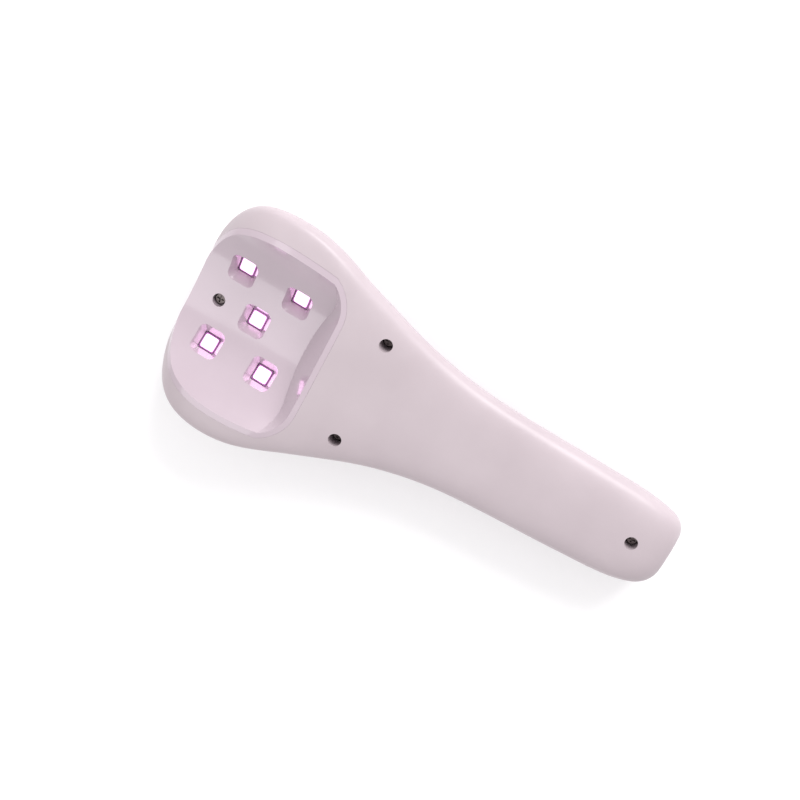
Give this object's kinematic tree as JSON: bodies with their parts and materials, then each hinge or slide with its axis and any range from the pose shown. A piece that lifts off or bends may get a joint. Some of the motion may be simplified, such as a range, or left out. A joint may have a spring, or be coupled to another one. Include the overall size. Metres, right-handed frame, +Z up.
{
  "type": "handheld UV LED nail lamp",
  "caption": "Cordless handheld UV LED nail lamp: a wide paddle head with an arched, open-fronted dish of pocketed LEDs, on a slim tapered handle.",
  "frame": {"origin": "under the middle of the lamp, on the table it lies on", "axes": "+X to the tail of the handle, +Y to the lamp's left side, +Z up out of the dish: the lamp lies on its back with the LEDs facing up"},
  "size_m": [0.145, 0.0646, 0.0241],
  "materials": {
    "shell_plastic": "satin, pinkish white",
    "dish_plastic": "glossy, pinkish white",
    "screw_steel": "blackened, satin",
    "board_screw_steel": "plain, satin",
    "led_board_white": "white solder mask on metal",
    "lead_white": "smooth insulation",
    "board_green": "green solder mask",
    "button_plastic": "satin",
    "component_black": "moulded",
    "plunger_plastic": "moulded",
    "indicator_clear": "frosted translucent",
    "indicator_chip": "epoxy",
    "foam": "foamed",
    "socket_steel": "nickel plated",
    "socket_tongue": "moulded",
    "connector_white": "moulded",
    "inductor_grey": "ferrite",
    "capacitor_tan": "satin",
    "cell_steel": "nickel plated",
    "cell_wrap": "shrunk film",
    "nickel": "strip",
    "lead_red": "smooth insulation",
    "lead_black": "smooth insulation",
    "led_package": "dark body",
    "led_lens": "clear dome, lit"
  },
  "bodies": {
    "housing": {"back_shell": "shell_plastic", "board_screws": "board_screw_steel", "case_screws": "screw_steel", "cell_can": "cell_steel", "cell_cap": "cell_steel", "cell_connector": "connector_white", "cell_foam_pad": "foam", "cell_lead_black": "lead_black", "cell_lead_red": "lead_red", "cell_sleeve": "cell_wrap", "cell_tabs": "nickel", "charge_controller": "component_black", "face_shell": "shell_plastic", "indicator_chip": "indicator_chip", "indicator_lens": "indicator_clear", "led_back_left_lens": "led_lens", "led_back_left_package": "led_package", "led_back_right_lens": "led_lens", "led_back_right_package": "led_package", "led_board_centre": "led_board_white", "led_board_left": "led_board_white", "led_board_links": "lead_white", "led_board_right": "led_board_white", "led_centre_lens": "led_lens", "led_centre_package": "led_package", "led_connector": "connector_white", "led_driver": "component_black", "led_front_left_lens": "led_lens", "led_front_left_package": "led_package", "led_front_right_lens": "led_lens", "led_front_right_package": "led_package", "led_lead_black": "lead_black", "led_lead_red": "lead_red", "main_board": "board_green", "power_inductor": "inductor_grey", "reflector_dish": "dish_plastic", "smoothing_capacitor": "capacitor_tan", "switch_body": "component_black", "usb_board": "board_green", "usb_lead_black": "lead_black", "usb_lead_red": "lead_red", "usb_socket_shell": "socket_steel", "usb_socket_tongue": "socket_tongue"},
    "power_button": {"power_button": "button_plastic"},
    "switch_plunger": {"switch_plunger": "plunger_plastic"}
  },
  "joints": [
    {"name": "power_button", "type": "slide", "parent": "housing", "child": "power_button", "axis": [0, 0, 1], "range_m": [0, 0.0003], "stiffness_N_per_m": 4000, "springref_m": -0.0001},
    {"name": "switch_plunger", "type": "slide", "parent": "housing", "child": "switch_plunger", "axis": [0, 0, 1], "range_m": [0, 0.0003]}
  ],
  "couplings": [
    {"joint": "switch_plunger", "follows": "power_button", "ratio": 1}
  ]
}
